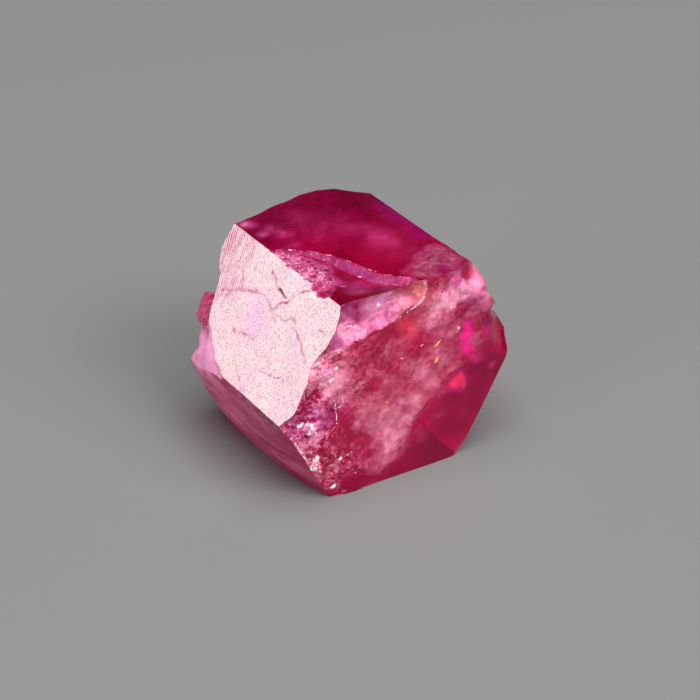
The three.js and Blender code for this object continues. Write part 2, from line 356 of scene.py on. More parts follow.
def lowerLeftRelief(y, d):
    # bulges behind the broken end as 1 - exp(-y) and 1 - (1 - d / width)^2, with long shallow grooves
    swell = 1 - (1 - np.clip(d / lowerLeftFace["bulgeWidth"], 0, 1)) ** 2
    out = lowerLeftFace["bulge"] * swell * (1 - np.exp(-np.maximum(y, 0))) * (1 - 0.5 * smooth(y, 3.5, 4.5))
    wave = d / lowerLeftFace["groovePitch"] + 0.7 * bumps(y * 0.35, d, 0.5, 81)
    uneven = 0.4 + 0.6 * np.abs(bumps(y, d * 2, 1.1, 82))
    return out - lowerLeftFace["grooveDepth"] * np.abs(np.cos(math.pi * wave)) * uneven


growthLines = {"depth": 0.006, "pitch": 0.5, "swell": 0.004}


def growthRelief(y, d, seed):
    # long narrow grooves along the crystal, and wide shallow hollows
    grooves = np.abs(bumps(d * 3.0, y * 0.18, growthLines["pitch"], seed))
    return -growthLines["depth"] * grooves - growthLines["swell"] * np.abs(bumps(d, y, 0.9, seed + 1))


def lowerRightRelief(y, d):
    # growth lines and nothing else
    return growthRelief(y, d, 83)


upperRightFace = {
    "knob": (0.07, 0.25, 0.35),    # height, distance under the top edge and reach
    "dip": (0.04, 0.95, 0.3),
    "lumps": 0.03,
    "lumpsEnd": (0.5, 1.5),        # y between which they fade out
}


def upperRightRelief(y, d):
    # growth lines; by the broken end lumpy, with a knob under the top edge and a hollow below it
    under = prism["sides"][4][1] - d
    knob, dip = (size * np.exp(-((under - at) / reach) ** 2)
                 for size, at, reach in (upperRightFace["knob"], upperRightFace["dip"]))
    lumps = knob - dip + upperRightFace["lumps"] * layers(y, d, 0.4, 3, 87)
    return (1 - smooth(y, *upperRightFace["lumpsEnd"])) * lumps + growthRelief(y, d, 85)


def bottomRelief(y, d):
    # barely pitted
    return -0.003 * np.abs(layers(d, y, 0.5, 2, 61))


# The broken near end: x across it, z up it

frontBreak = {
    # how far the left border stands out at each height, and how quickly that wears off inwards: beside the
    # shell-shaped scar, where the bright face ends in a sharp lip, and below it
    "borderOut": [
        (0.3, 0.0), (0.03, 0.04), (-0.06, 0.12), (-0.2, 0.22), (-0.42, 0.24), (-0.67, 0.23), (-0.97, 0.08),
        (-1.15, 0.0), (-1.28, 0.0), (-1.38, 0.1), (-1.5, 0.17), (-2.1, 0.17), (-2.44, -0.08), (-3.2, 0.02),
        (-3.9, -0.04), (-4.6, -0.06),
    ],
    "borderFade": (0.07, 0.3),
    "splinters": [(0.09, 0.42, 51), (0.03, 0.16, 56), (0.012, 0.08, 59)],      # height, size and seed of each
    "lipEnd": -0.8,
    # the scar's height at each x, its depth, and the raised line along its lower rim
    "shellRim": [
        (-0.6, 1.01), (0.0, 1.01), (0.27, 0.99), (0.69, 0.87), (1.0, 0.81), (1.42, 0.75), (1.68, 0.57),
        (2.0, 0.5), (2.1, 0.34), (2.16, 0.1),
    ],
    "shellDepth": 0.22,
    "lipHeight": 0.02,
    "lip": [
        (0.55, -0.9), (0.8, -0.85), (1.05, -0.81), (1.42, -0.77), (1.6, -0.66), (1.78, -0.57),
        (1.97, -0.5), (2.07, -0.38), (2.09, -0.2), (2.05, -0.04), (1.97, 0.06),
    ],
    # x, z, reach in x, reach in z and depth of each lost piece of the rim, and how steep their walls are
    "chipWalls": 1.6,
    "chips": [
        (4.6, -1.8, 0.72, 0.6, 0.5), (4.2, -1.3, 0.4, 0.28, 0.34), (3.5, 0.05, 0.5, 0.55, 0.24),
        (3.5, -4.9, 0.57, 0.57, 0.45),
    ],
    # how far right the frost reaches at each height
    "frostBorder": [
        (0.3, 4.6), (-1.1, 4.1), (-1.24, 3.66), (-1.77, 3.56), (-2.13, 3.48), (-2.28, 3.19), (-2.46, 2.75),
        (-2.96, 2.35), (-3.25, 1.95), (-3.88, 1.7), (-4.13, 1.5), (-4.24, 1.23), (-4.46, 1.04),
        (-4.6, 0.87),
    ],
    # a raised patch under the scar: its middle, half sizes and turn
    "raised": ((0.33, -0.88), (0.45, 0.22), 0.35),
    # from here to the haze: x, z, radius and strength of round patches, first two of them in the scar, whose
    # paler patches are partly a painted highlight
    "shellPale": [
        (0.98, -0.25, 0.4, 0.8), (0.55, -0.28, 0.28, -0.4), (0.5, -0.58, 0.17, -0.25),
        (1.3, -0.1, 0.14, 0.5), (1.9, -0.02, 0.16, 0.8), (1.66, -0.48, 0.18, 0.8), (2.0, -0.32, 0.12, 0.7),
        (1.66, -0.14, 0.13, -0.2), (1.42, -0.62, 0.1, 0.4),
    ],
    "crinkles": [(0.28, -0.74, 0.17, 1.0), (0.5, -0.8, 0.14, 0.8), (0.1, -0.66, 0.12, 0.6)],
    "knobs": [(2.65, -0.65, 0.45, 1.0), (3.25, -0.55, 0.4, 1.0)],
    # clear patches low on the left
    "bare": [
        (0.3, -4.36, 0.3, 1.3), (0.75, -4.62, 0.3, 1.2), (-0.22, -4.66, 0.22, 1.2),
        (1.2, -4.72, 0.28, 1.2), (-0.5, -4.7, 0.2, 1.0),
    ],
    # painted glow: hot spots where light from inside seems to shine out
    "hot": [
        (3.19, -1.42, 0.11, 1.4), (3.15, -1.6, 0.14, 2.0), (3.14, -1.8, 0.14, 1.8),
        (3.18, -2.0, 0.12, 1.4), (3.3, -2.12, 0.12, 0.8), (3.42, -2.26, 0.12, 0.8), (3.63, -1.7, 0.1, 0.8),
        (3.64, -1.86, 0.08, 0.6), (2.84, -2.68, 0.15, 1.5), (3.02, -2.62, 0.13, 1.3),
        (3.0, -2.84, 0.15, 0.8), (3.82, -2.58, 0.08, 0.6), (2.86, -0.27, 0.12, 0.5),
    ],
    "pale": [
        (-0.73, -1.0, 0.16, 1.0), (-0.45, -1.46, 0.34, 0.9), (-0.19, -1.55, 0.25, 0.7),
        (-0.15, -1.05, 0.25, 0.5), (-0.25, -1.9, 0.22, 0.6), (0.03, -2.2, 0.16, 0.5),
        (0.3, -1.8, 0.35, 0.2), (1.13, -2.66, 0.5, 0.35), (1.85, -2.95, 0.35, 0.35),
        (1.25, -3.1, 0.4, 0.28), (1.4, -3.5, 0.4, 0.3), (0.95, -3.3, 0.3, 0.12), (1.05, -3.95, 0.35, 0.2),
        (-0.76, -3.16, 0.25, 0.6), (-0.55, -3.5, 0.2, 0.7), (-0.62, -3.75, 0.14, 0.5),
        (-0.05, -3.65, 0.2, 0.3), (2.48, -0.69, 0.24, 0.8), (2.34, -1.05, 0.22, 0.6),
        (2.7, -0.8, 0.12, 0.9), (2.92, -0.55, 0.3, 1.1), (3.3, -0.6, 0.3, 0.6), (0.39, -2.93, 0.12, 0.7),
        (0.25, -3.41, 0.12, 0.4), (1.75, -1.95, 0.25, 0.3), (2.3, -2.3, 0.3, 0.3),
        (2.46, -1.79, 0.3, 0.25), (0.0, -1.75, 0.22, 0.4),
    ],
    "red": [
        (3.12, -0.19, 0.12, 1.6), (3.22, -0.27, 0.1, 1.2), (0.15, -3.45, 0.4, 0.8),
        (-0.26, -3.34, 0.26, 2.2), (0.6, -1.45, 0.4, 0.7), (1.1, -1.05, 0.3, 0.7), (1.0, -2.2, 0.35, 0.5),
        (1.5, -1.6, 0.35, 0.4), (0.1, -2.95, 0.3, 0.8), (0.0, -3.3, 0.25, 0.6), (-0.41, -4.03, 0.25, 0.3),
        (0.32, -4.28, 0.26, 1.8), (0.05, -4.42, 0.22, 1.6), (-0.34, -4.42, 0.18, 1.4),
        (0.75, -4.6, 0.16, 1.0), (2.1, -1.55, 0.3, 0.5), (2.97, -0.96, 0.16, 0.9),
        (2.49, -0.98, 0.12, 0.6), (3.2, -1.5, 0.25, 0.6), (2.15, -3.05, 0.22, 0.8),
        (-0.59, -1.85, 0.12, 0.9), (-0.9, -2.2, 0.18, 1.0), (1.65, -3.4, 0.14, 0.4),
        (0.62, -3.75, 0.2, 0.3),
    ],
    # orange lean: over the scar's tip, and for a painted orange glow, painted orange glints and the orange of
    # painted hot spots
    "warm": [
        (1.71, -1.1, 0.24, 0.9), (1.62, -0.92, 0.2, 0.5), (1.9, -0.02, 0.24, 1.2),
        (2.02, -0.34, 0.16, 0.9), (1.6, -0.1, 0.2, 0.5), (3.82, -2.58, 0.15, 1.0),
        (2.96, -2.68, 0.25, 1.0), (3.4, -2.25, 0.2, 0.5), (2.38, -1.65, 0.12, 0.6),
        (2.37, -2.03, 0.12, 0.5),
    ],
    # where the frost is crumbly, not cloudy
    "crumbs": [
        (0.4, -1.9, 0.7, 0.7), (2.5, -0.6, 0.55, 0.6), (3.1, -0.6, 0.4, 0.4), (0.1, -3.0, 0.6, 0.4),
        (-0.4, -3.6, 0.4, 0.8), (1.2, -1.5, 0.5, 0.4), (0.4, -3.7, 0.5, 0.4),
    ],
    "magenta": [
        (-0.85, -2.45, 0.4, 0.9), (-0.4, -2.6, 0.35, 0.8), (-0.32, -1.39, 0.12, 0.7),
        (0.39, -2.93, 0.2, 0.6), (0.6, -4.2, 0.5, 0.4), (3.4, -0.9, 0.35, 0.7), (2.86, -0.27, 0.25, 0.8),
        (0.0, -2.45, 0.25, 0.5), (-1.1, -2.65, 0.3, 0.8),
    ],
    # painted shade: darker clear glass at the lower right
    "deep": [(3.3, -2.85, 0.7, 1.4), (2.8, -3.55, 0.6, 1.2), (2.2, -4.1, 0.4, 0.8)],
    "haze": [
        (2.45, -3.25, 0.22, 0.45), (2.05, -3.66, 0.26, 0.5), (2.16, -4.08, 0.15, 0.4),
        (2.55, -2.85, 0.2, 0.5),
    ],
    # painted glints as thin lines and as small spots (x, z, radius and strength), and thin dark cracks
    "edgeGlints": [
        [(-0.23, -1.97), (-0.1, -2.29), (-0.08, -2.74), (-0.22, -3.05)],
        [(-0.7, -3.73), (-0.53, -3.79), (-0.34, -3.78), (-0.25, -3.69), (-0.04, -3.63), (0.13, -3.66),
         (0.6, -3.52)],
        [(-0.34, -3.84), (-0.12, -3.74), (0.1, -3.72)], [(-0.01, -2.05), (0.12, -2.38), (-0.1, -2.42)],
        [(0.12, -0.62), (0.3, -0.66), (0.45, -0.7), (0.6, -0.76)],
        [(0.2, -0.7), (0.38, -0.8), (0.34, -0.9), (0.21, -1.0)],
        [(0.42, -0.78), (0.6, -0.8), (0.78, -0.86)], [(0.28, -0.74), (0.3, -0.86)],
        [(0.45, -1.84), (0.55, -1.87)], [(1.02, -0.36), (1.1, -0.42), (1.16, -0.4)],
        [(1.48, -0.62), (1.6, -0.52), (1.72, -0.5), (1.8, -0.44)], [(1.56, -0.6), (1.66, -0.44)],
        [(1.78, -0.4), (1.9, -0.3), (2.02, -0.28)], [(1.46, -0.2), (1.62, -0.06), (1.84, 0.04)],
        [(0.3, -2.96), (0.45, -2.88)], [(0.75, -3.42), (0.85, -3.4), (0.87, -3.34)],
        [(-0.15, -4.34), (-0.11, -4.22)], [(-0.75, -2.95), (-0.66, -3.2), (-0.63, -3.36)],
    ],
    "glints": [
        (-0.54, -1.18, 0.045, 1.2), (-0.08, -1.46, 0.05, 1.2), (-0.22, -1.67, 0.045, 1.2),
        (-0.98, -2.53, 0.06, 1.4), (-0.88, -2.56, 0.05, 1.3), (-0.75, -2.56, 0.055, 1.3),
        (-0.66, -2.66, 0.055, 1.3), (-0.78, -2.74, 0.05, 1.2), (-0.6, -2.84, 0.05, 1.2),
        (-1.21, -2.39, 0.035, 1.2), (-0.63, -3.3, 0.05, 1.1), (-0.56, -3.49, 0.07, 1.5),
        (-0.58, -3.66, 0.05, 1.2), (-0.7, -3.73, 0.06, 1.2), (-0.03, -3.63, 0.05, 1.2),
        (-0.15, -4.32, 0.06, 1.2), (0.41, -2.91, 0.04, 0.9), (2.95, -1.41, 0.045, 1.0),
        (2.88, -1.48, 0.035, 0.9), (1.06, -0.4, 0.05, 0.7), (2.7, -0.84, 0.05, 0.7),
        (-0.42, -1.46, 0.06, 0.6), (2.83, -0.53, 0.05, 0.7), (2.42, -0.22, 0.025, 0.9),
    ],
    "cracks": [
        [(-0.21, -2.37), (-0.12, -2.51)], [(0.78, -1.91), (0.92, -1.86)],
        [(0.26, -1.97), (0.34, -2.05), (0.42, -2.12)], [(-0.15, -4.14), (-0.13, -4.02)],
        [(0.12, -2.36), (0.18, -2.42)], [(0.34, -1.98), (0.5, -1.88)],
    ],
}


def leftBorder(z):
    # x of the prism's left outline at height z: out along the upper left face, back along the lower left one
    reach = prism["sides"][0][1] * math.sin(prismTurn)
    return np.where(z > -reach, z / math.sqrt(3), -(z + 2 * reach) / math.sqrt(3))


def frostArea(x, z):
    # 1 on the frosted part of the break, 0 on the smooth part at the lower right, with a ragged cloudy border
    past = x - alongLine(z, frontBreak["frostBorder"]) + 0.16 * layers(x, z, 0.5, 5, 41)
    haze = patches(x, z, frontBreak["haze"]) * np.maximum(0, 1 + 0.7 * layers(x, z, 0.2, 3, 45))
    frosted = np.maximum(1 - smooth(past, -0.35, 0.3), haze)
    bare = patches(x, z, frontBreak["bare"]) + 0.15 * layers(x, z, 0.3, 3, 44)
    return frosted * (1 - smooth(bare, 0.3, 0.8))


def shellFall(x, z):
    # how far down the shell-shaped scar a point is: 0 at the top edge, 1 at its lower rim, more below it
    rim = alongLine(x, frontBreak["shellRim"]) + 0.02 * bumps(x, z, 0.2, 55)
    return np.maximum(0.02 - z, 0) / np.maximum(rim, 0.02)


def shellArea(x, z):
    # 4t(1-t) from the top edge to the rim, fading out at the right-hand tip
    t = np.minimum(shellFall(x, z), 1)
    return 4 * t * (1 - t) * smooth(x, -0.3, 0.25) * smooth(2.16 - x, 0, 0.45)


def shellLip(x, z):
    # the thin raised line along the scar's lower rim and round its tip
    return np.exp(-(lineGap(x + 0.012 * bumps(x, z, 0.1, 61), z, frontBreak["lip"]) / 0.026) ** 2)


def frontRelief(x, z):
    # positive stands out towards the front: border, splinters, cloudy frost, knobs and chips, then the scar
    fromBorder = x - leftBorder(z)
    border = alongLine(z, frontBreak["borderOut"])
    frost = frostArea(x, z)
    fade = np.where(z > frontBreak["lipEnd"], *frontBreak["borderFade"])
    edge = border * np.exp(-np.maximum(fromBorder, 0) / fade)
    splintered = (1 - smooth(fromBorder, 0.5, 1.3)) * smooth(fromBorder, 0.0, 0.15)
    height = 0
    for tall, size, seed in frontBreak["splinters"]:
        height = height + tall * facets(x, z, size, seed) * splintered
    height = height + frost * (0.04 * layers(x, z, 0.55, 4, 52) + 0.01 * facets(x, z, 0.2, 53))
    height = height + 0.06 * facets(x, z, 0.17, 57) * dish(x, z, *frontBreak["raised"])
    knobbly = patches(x, z, frontBreak["knobs"]) * smooth(-z, 0.0, 0.3)
    height = height + 0.05 * np.abs(bumps(x, z, 0.24, 58)) * knobbly
    height = height - (1 - frost) * (0.006 + 0.012 * bumps(x, z, 0.9, 54))
    for chipX, chipZ, reachX, reachZ, depth in frontBreak["chips"]:
        # depth times exp(-walls r^4): flat-bottomed, with soft walls
        far = (((x - chipX) / reachX) ** 2 + ((z - chipZ) / reachZ) ** 2) ** 2
        height = height - depth * np.exp(-frontBreak["chipWalls"] * far)
    shell = shellArea(x, z)
    share = np.where(shell > 0, 0.2, 1.0)   # of that roughness, inside the scar and outside it
    ripple = 0.004 * np.cos(32 * shellFall(x, z) + 5 * bumps(x, z, 0.6, 62)) * smooth(shell, 0, 0.3)
    tip = 0.034 * facets(x, z, 0.15, 60) * smooth(x, 0.95, 1.4) * smooth(shell, 0.02, 0.2)
    crinkle = 0.05 * facets(x, z, 0.11, 63) * np.minimum(patches(x, z, frontBreak["crinkles"]), 1)
    raised = tip + crinkle + frontBreak["lipHeight"] * shellLip(x, z)
    return edge + height * share + raised - frontBreak["shellDepth"] * shell - ripple


# The far end: x across it, z up it

farEnd = {
    "obliqueStart": 4.26,      # its length at the top left edge, and how fast it grows to the right
    "obliqueSlope": 0.245,
    # how far back the bright face reaches at each distance down it
    "brightBorder": [
        (0.0, 4.3), (0.36, 4.33), (0.56, 4.36), (0.78, 4.26), (0.91, 4.19), (1.1, 4.0), (1.28, 3.92),
        (1.5, 3.88), (1.84, 3.78), (2.09, 3.64), (2.6, 3.4),
    ],
    "teeth": 0.07,
    "teethPitch": 0.16,
    # the low six-sided growth plateau: its middle, half its width and the step round it
    "plateau": (2.7, -2.7, 1.05, 0.05),
    # y where each bevel's plane starts, its x there, and how fast it falls to the right and upwards
    "bevels": [(4.8, 2.14, 0.36, 0.35), (4.62, 2.68, 1.15, 0.8)],
    # x, z, reach in x, reach in z and height
    "lobes": [
        (-0.7, -1.88, 0.42, 0.42, 0.48), (-0.86, -2.35, 0.3, 0.35, 0.14), (-0.75, -3.45, 0.9, 0.95, 0.34),
    ],
}


def farRelief(x, z):
    # the least of a basal face, a slanting rippled break with lobes, and two bevels at the top right corner
    middleX, middleZ, halfWidth, step = farEnd["plateau"]
    turned = [np.abs((x - middleX) * math.cos(k) + (z - middleZ) * math.sin(k))
              for k in (0, math.pi / 3, 2 * math.pi / 3)]
    plateau = smooth(np.maximum.reduce(turned), halfWidth, halfWidth + 0.03)
    uneven = 0.012 * np.abs(layers(x, z, 0.7, 4, 71)) + 0.02 * np.abs(facets(x, z, 0.5, 76)) * plateau
    basal = prism["basalLength"] - step * plateau - uneven
    oblique = farEnd["obliqueStart"] + farEnd["obliqueSlope"] * x
    oblique = oblique + 0.02 * np.cos(7 * np.hypot(x + 1.6, z + 0.2)) + 0.015 * layers(x, z, 0.4, 3, 72)
    down = -z / math.sin(prismTurn)
    inward = 0.866 * x - 0.5 * z                     # distance in from the bright face
    teeth = np.abs((down / farEnd["teethPitch"] + 0.3 * bumps(down, x, 0.4, 73)) % 1 - 0.5)
    border = alongLine(down, farEnd["brightBorder"]) - farEnd["teeth"] * teeth * (1 - smooth(down, 1.5, 2.1))
    byFace = 1 - smooth(inward, 0.03, 0.3)
    oblique = oblique * (1 - byFace) + border * byFace
    for lobeX, lobeZ, reachX, reachZ, height in farEnd["lobes"]:
        lobe = height * smooth(dish(x, z, (lobeX, lobeZ), (reachX, reachZ)), 0, 0.7)
        oblique = oblique + lobe * smooth(np.where(z > -2.4, inward, 1), 0.04, 0.16)
    shallow, steep = (start - right * (x - startX) - rise * z
                      for start, startX, right, rise in farEnd["bevels"])
    steep = steep + 0.02 * np.cos(9 * np.hypot(x - 3.9, z - 0.4))
    return np.minimum(np.minimum(basal, oblique), np.minimum(shallow, steep))


# Blocks, one for each face, and the crystal where they all overlap

def addObject(name, data):
    thing = bpy.data.objects.new(name, data)
    bpy.context.scene.collection.objects.link(thing)
    return thing


def newObject(name, points, faces):
    mesh = bpy.data.meshes.new(name)
    mesh.from_pydata(points.tolist(), [], faces)
    mesh.update()
    return addObject(name, mesh)


def faceBlock(name, corner, acrossAxis, alongAxis, across, along, relief, depth=12.0, reach=farAway):
    # point(a, b) = corner + a across + b along + relief(a, b) outward, closed by walls and a flat back
    outward = np.cross(acrossAxis, alongAxis)
    a = np.concatenate([[-reach], across, [reach]])
    b = np.concatenate([[-reach], along, [reach]])
    gridA, gridB = np.meshgrid(a, b, indexing="ij")
    height = relief(gridA, gridB)
    face = gridA[..., None] * acrossAxis + gridB[..., None] * alongAxis + height[..., None] * outward
    face = face.reshape(-1, 3)
    index = np.arange(len(face)).reshape(gridA.shape)
    ring = np.concatenate([index[:-1, 0], index[-1, :-1], index[:0:-1, -1], index[0, :0:-1]])
    backing = face[ring] - (face[ring] @ outward + depth)[:, None] * outward
    under = np.arange(len(ring)) + len(face)
    quads = np.stack([index[:-1, :-1], index[1:, :-1], index[1:, 1:], index[:-1, 1:]], -1).reshape(-1, 4)
    walls = np.stack([np.roll(ring, -1), ring, under, np.roll(under, -1)], -1)
    points = np.concatenate([face, backing]) + corner
    return newObject(name, points, [*quads.tolist(), *walls.tolist(), under[::-1].tolist()])


# each long face's height over its plane, its grid's cell size, and the stretches with finer cells (start,
# end and cell size), first back along the face and then down it
sideReliefs = {
    "upperLeft": (upperLeftRelief, 0.028, (2.9, 4.6, 0.017), None),
    "lowerLeft": (lowerLeftRelief, 0.045, None, (-0.1, 0.45, 0.03)),
    "bottom": (bottomRelief, 0.12, None, None),
    "lowerRight": (lowerRightRelief, 0.08, None, None),
    "upperRight": (upperRightRelief, 0.08, None, None),
    "top": (topRelief, 0.042, (-0.1, 2.9, 0.024), (1.2, 3.35, 0.024)),
}
# the grids of both ends: from, to, cell size and any finer stretch, first across and then up
endGrids = {
    "front": ((-1.6, 4.6, 0.036, (-1.5, 0.8, 0.019)), (-4.8, 0.3, 0.027)),
    "far": ((-4.7, 1.7, 0.065, (0.3, 1.6, 0.04)), (-4.8, 0.3, 0.05)),
}


def sideFrames():
    # each side's first corner and its directions; the next side starts where this one ends, 60 degrees on
    corner, frames = np.zeros(3), {}
    for n, (name, width) in enumerate(prism["sides"]):
        angle = math.radians(prism["firstAngle"]) + n * prismTurn
        along = np.array([-math.sin(angle), 0, math.cos(angle)])
        outward = np.array([math.cos(angle), 0, math.sin(angle)])
        frames[name] = (corner, along, outward, width)
        corner = corner + width * along
    return frames


def makeCrystal():
    # the blocks of the six long faces and of both ends, and what is inside all eight of them
    back = np.array([0.0, 1.0, 0.0])
    blocks = []
    for name, (corner, along, outward, width) in sideFrames().items():
        relief, cell, fineBack, fineDown = sideReliefs[name]
        across, downward = spacing(-0.4, 5.0, cell, fineBack), spacing(-0.3, width + 0.3, cell, fineDown)
        blocks.append(faceBlock(name, corner, back, along, across, downward, relief))
    right, up = np.array([1.0, 0, 0]), np.array([0, 0, 1.0])
    nowhere = np.zeros(3)
    across, upward = (spacing(*grid) for grid in endGrids["front"])
    blocks.append(faceBlock("front", nowhere, right, up, across, upward, frontRelief))
    across, upward = (spacing(*grid) for grid in endGrids["far"])
    blocks.append(faceBlock("far", nowhere, -right, up, across, upward, lambda a, z: farRelief(-a, z)))
    body = blocks[0]   # the others cut it back
    for block in blocks[1:]:
        cut = body.modifiers.new(block.name, "BOOLEAN")
        cut.operation = "INTERSECT"
        cut.solver = "MANIFOLD"
        cut.object = block
    shape = body.evaluated_get(bpy.context.evaluated_depsgraph_get())
    mesh = bpy.data.meshes.new_from_object(shape)
    for block in blocks:
        bpy.data.objects.remove(block)
    mesh.name = "crystal"
    return addObject("crystal", mesh)


def readArray(items, key, width, kind=float):
    # one property of every item, with width numbers to a row
    values = np.zeros(len(items) * width, kind)
    items.foreach_get(key, values)
    return values.reshape(-1, width) if width > 1 else values


def sideOfFaces(mesh):
    # which of the eight surfaces each face lies on: the one whose height it is nearest to
    centres = readArray(mesh.polygons, "center", 3)
    x, y, z = centres.T
    gaps = []
    for name, (corner, along, outward, width) in sideFrames().items():
        spot = centres - corner
        gaps.append(np.abs(spot @ outward - sideReliefs[name][0](y, spot @ along)))
    gaps.append(np.abs(-y - frontRelief(x, z)))
    gaps.append(np.abs(y - farRelief(x, z)))
    return np.argmin(gaps, axis=0)


# At each corner of the faces: how dull it is, how much light it stops, how white it is, how far it leans to
# orange and to purple, then splinters, coarse grain, a painted glow, painted shade darkening the glass,
# painted glints, the bright face's etching with its painted sheen, its cracks with painted groove shade, and
# black marks
finishMasks = ("frost", "hide", "pale", "warm", "magenta", "splinter", "crumb", "hot", "deep", "glint",
               "etchSheen", "crackAndGrooveShade", "dark")

# The front break's tables of round patches that the masks use
spotTables = ("crinkles", "glints", "hot", "pale", "red", "warm", "crumbs", "magenta", "deep", "shellPale")


def paintCrystal(mesh):
    side = np.repeat(sideOfFaces(mesh), readArray(mesh.polygons, "loop_total", 1, int))
    corners = readArray(mesh.vertices, "co", 3)[readArray(mesh.loops, "vertex_index", 1, int)]
    x, y, z = corners.T
    down = -z / math.sin(prismTurn)
    names = [name for name, width in prism["sides"]] + ["front", "far"]
    on = {name: side == n for n, name in enumerate(names)}
    none = np.zeros(len(x))

    # the broken end and its shell-shaped scar, with a painted highlight along the glassy lip low on the left
    # border
    lip, shell = shellLip(x, z), shellArea(x, z)
    inShell = shell > 0.02
    spots = {name: patches(x, z, frontBreak[name]) for name in spotTables}
    fromBorder = x - leftBorder(z)
    area = frostArea(x, z)
    chipGlint = np.exp(-((fromBorder - 0.05) / 0.03) ** 2) * smooth(-z, 2.45, 2.8) * (1 - smooth(-z, 3.7, 4.0))
    # painted glints: thin bright lines, the highlight along the lip, small white spots and the scar's bright
    # rim
    glint = strokes(x, z, frontBreak["edgeGlints"], 0.024) * np.where(inShell, 0.6, 0.75) + 0.6 * chipGlint
    glint = glint + spots["glints"] + 0.62 * lip * smooth(x, 1.0, 1.5)
    tone = 0.22 + spots["pale"] * 0.68 - spots["red"] * 0.5
    tone = tone + 0.21 * layers(x, z, 0.42, 5, 43) - 0.25 * (1 - area)
    cloud = area * smooth(area, 0.05, 0.6)
    crinkles = np.minimum(spots["crinkles"], 1)
    # the scar's tone, paler in patches and along its rim, partly a painted highlight
    shellTone = 0.34 + spots["shellPale"] + 0.5 * lip + crinkles
    shellTone = shellTone + 0.22 * layers(1.6 * (x + z), z - x, 0.26, 2, 66)
    # a painted glow where light from inside seems to shine out
    hot = 1 - np.exp(-spots["hot"] * np.maximum(0, 1 + 0.55 * layers(x, z, 0.16, 3, 65)))
    front = {
        "frost": np.where(inShell, 0.22, np.clip(area, 0, 1)),
        "hide": np.where(inShell, 0.66 - 0.15 * smooth(x, 1.3, 1.7) + 0.3 * lip + 0.3 * crinkles,
                         np.maximum(cloud * np.clip(0.55 + 0.6 * tone, 0.45, 1), hot)),
        "pale": np.where(inShell, shellTone, tone),
        "warm": spots["warm"],
        "magenta": np.where(inShell, 1 - smooth(x, 1.2, 1.6) - 0.9 * crinkles, spots["magenta"]),
        "deep": spots["deep"] * (1 - area) * (1 - hot),
        "splinter": np.where(inShell, 1.2 * crinkles,
                             (1 - smooth(fromBorder, 0.5, 1.25)) * area * (z < -1.0)),
        "glint": glint,
        "crumb": spots["crumbs"] * area + 3.2 * area * (1 - np.clip(area, 0, 1)),
        "hot": hot,
        "dark": strokes(x, z, frontBreak["cracks"], 0.03),
    }

    # the top face, its veils and its flake
    shiftX, shiftY = topFace["floorShift"]
    backX, backY = x + shiftX * z, y + shiftY * z
    share = flakeShare(x, y)
    inFlake = (share < 1) & (y < 2.8)
    # the flake's wall, painted paler: partly a painted highlight along its rim
    wall = smooth(share, 0.87, 0.93) * (1 - smooth(share, 0.98, 1.03)) * (y < 2.8)
    jumble, haze = flakeJumble(x, y), hazeShare(x, y)
    wispy = np.clip(0.75 + 0.5 * layers(x + y, 2.2 * (x - y), 0.5, 4, 95), 0, 1.4)
    veils = patches(x, y, topFace["veils"]) * wispy
    purple = smooth(x + 0.12 * layers(x, y, 0.7, 2, 94), *topFace["violetEdge"]) * smooth(y, 0.9, 1.7)
    purple = purple * (1 - 0.5 * smooth(y, 3.2, 4.2))
    # a painted pink glint near the far left corner
    pinkGlintSpot = patches(x, y, topFace["pinkGlint"])
    blister = dish(backX, backY, *topFace["blister"])
    top = {
        "frost": np.where(inFlake, 0.15 * jumble + 0.1 * wall, 0.5 * haze),
        "hide": np.where(inFlake, 0.48 * jumble + 0.28 * wall + 0.16 * blister,
                         0.3 * haze + 0.14 * veils + 0.04 * purple + 0.5 * pinkGlintSpot),
        "pale": np.where(inFlake, 0.35 + 0.3 * wall * (1 + bumps(x, y, 0.2, 96)) + 0.2 * blister,
                         0.18 + 0.16 * haze + 0.06 * veils - 0.3 * purple + 0.8 * pinkGlintSpot),
        "warm": patches(x, y, topFace["warm"]),
        "magenta": np.where(inFlake, 0.7 - 0.4 * wall, 0.5 * haze + 0.2 * veils + purple),
        "splinter": np.where(inFlake, jumble + 0.2 * wall, 0.2 * haze),
        "crumb": np.where(inFlake, 0, 0.8 * haze),
        "glint": np.where(share < 1.08, 0.62 * strokes(backX, backY, topFace["flakeGlintLines"], 0.026), 0)
                 + 0.35 * strokes(x, y, topFace["edgeHighlight"], 0.03),
        "dark": patches(backX, backY, topFace["darkSpot"]) * inFlake,
    }

    # the other faces
    # the etched part of the bright face, which carries a painted sheen standing in for its flash of light
    etchSheen = (1 - splitShare(y, down)) * (edgeNick(y, down) < 0.004)
    comb, groove = striations(y, down)
